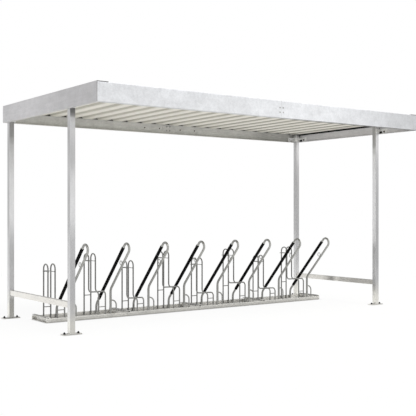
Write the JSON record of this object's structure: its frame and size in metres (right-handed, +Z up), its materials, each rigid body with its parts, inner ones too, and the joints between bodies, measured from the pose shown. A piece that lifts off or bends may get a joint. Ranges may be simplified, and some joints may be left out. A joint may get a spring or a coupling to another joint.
{
  "type": "bicycle shelter",
  "caption": "Open flat-roofed steel bicycle shelter on posts, with a row of wheel holders and lean-on hoops standing on low base frames under it.",
  "frame": {"origin": "centre of the roof's footprint on the ground", "axes": "+X along the row of stands, -Y is the open front that bicycles are pushed in from, +Z up"},
  "size_m": [4.52, 2.215, 2.386],
  "materials": {
    "galvanised_steel": "hot-dip galvanised, matt grey with a faint spangle",
    "galvanised_fascia": "hot-dip galvanised folded sheet, pale and cloudy with a faint spangle",
    "coated_sheet": "grey-white coil coating, satin",
    "black_sleeve": "black plastic sleeve, satin",
    "black_seal": "black foam rubber strip, matt"
  },
  "bodies": {
    "root": {"front_left_post": "galvanised_steel", "front_right_post": "galvanised_steel", "back_left_post": "galvanised_steel", "back_right_post": "galvanised_steel", "left_side_rail": "galvanised_steel", "right_side_rail": "galvanised_steel", "front_beam_left": "galvanised_fascia", "front_beam_right": "galvanised_fascia", "back_beam_left": "galvanised_fascia", "back_beam_right": "galvanised_fascia", "left_end_beam": "galvanised_fascia", "right_end_beam": "galvanised_fascia", "front_splice_plate": "galvanised_steel", "back_splice_plate": "galvanised_steel", "front_left_head_bracket": "galvanised_steel", "front_right_head_bracket": "galvanised_steel", "back_left_head_bracket": "galvanised_steel", "back_right_head_bracket": "galvanised_steel", "front_sheet_ledge": "galvanised_steel", "back_sheet_ledge": "galvanised_steel", "roof_sheet_1": "coated_sheet", "roof_sheet_2": "coated_sheet", "roof_sheet_3": "coated_sheet", "roof_sheet_4": "coated_sheet", "roof_sheet_5": "coated_sheet", "left_edge_seal": "black_seal", "right_edge_seal": "black_seal", "base_frame_1": "galvanised_steel", "base_frame_2": "galvanised_steel", "base_frame_3": "galvanised_steel", "base_frame_4": "galvanised_steel", "wheel_holder_1": "galvanised_steel", "wheel_holder_2": "galvanised_steel", "wheel_holder_3": "galvanised_steel", "wheel_holder_4": "galvanised_steel", "wheel_holder_5": "galvanised_steel", "wheel_holder_6": "galvanised_steel", "wheel_holder_7": "galvanised_steel", "wheel_holder_8": "galvanised_steel", "lean_hoop_1": "galvanised_steel", "lean_hoop_2": "galvanised_steel", "lean_hoop_3": "galvanised_steel", "lean_hoop_4": "galvanised_steel", "lean_hoop_5": "galvanised_steel", "lean_hoop_6": "galvanised_steel", "lean_hoop_7": "galvanised_steel", "lean_hoop_8": "galvanised_steel", "hoop_sleeves": "black_sleeve"}
  },
  "joints": []
}
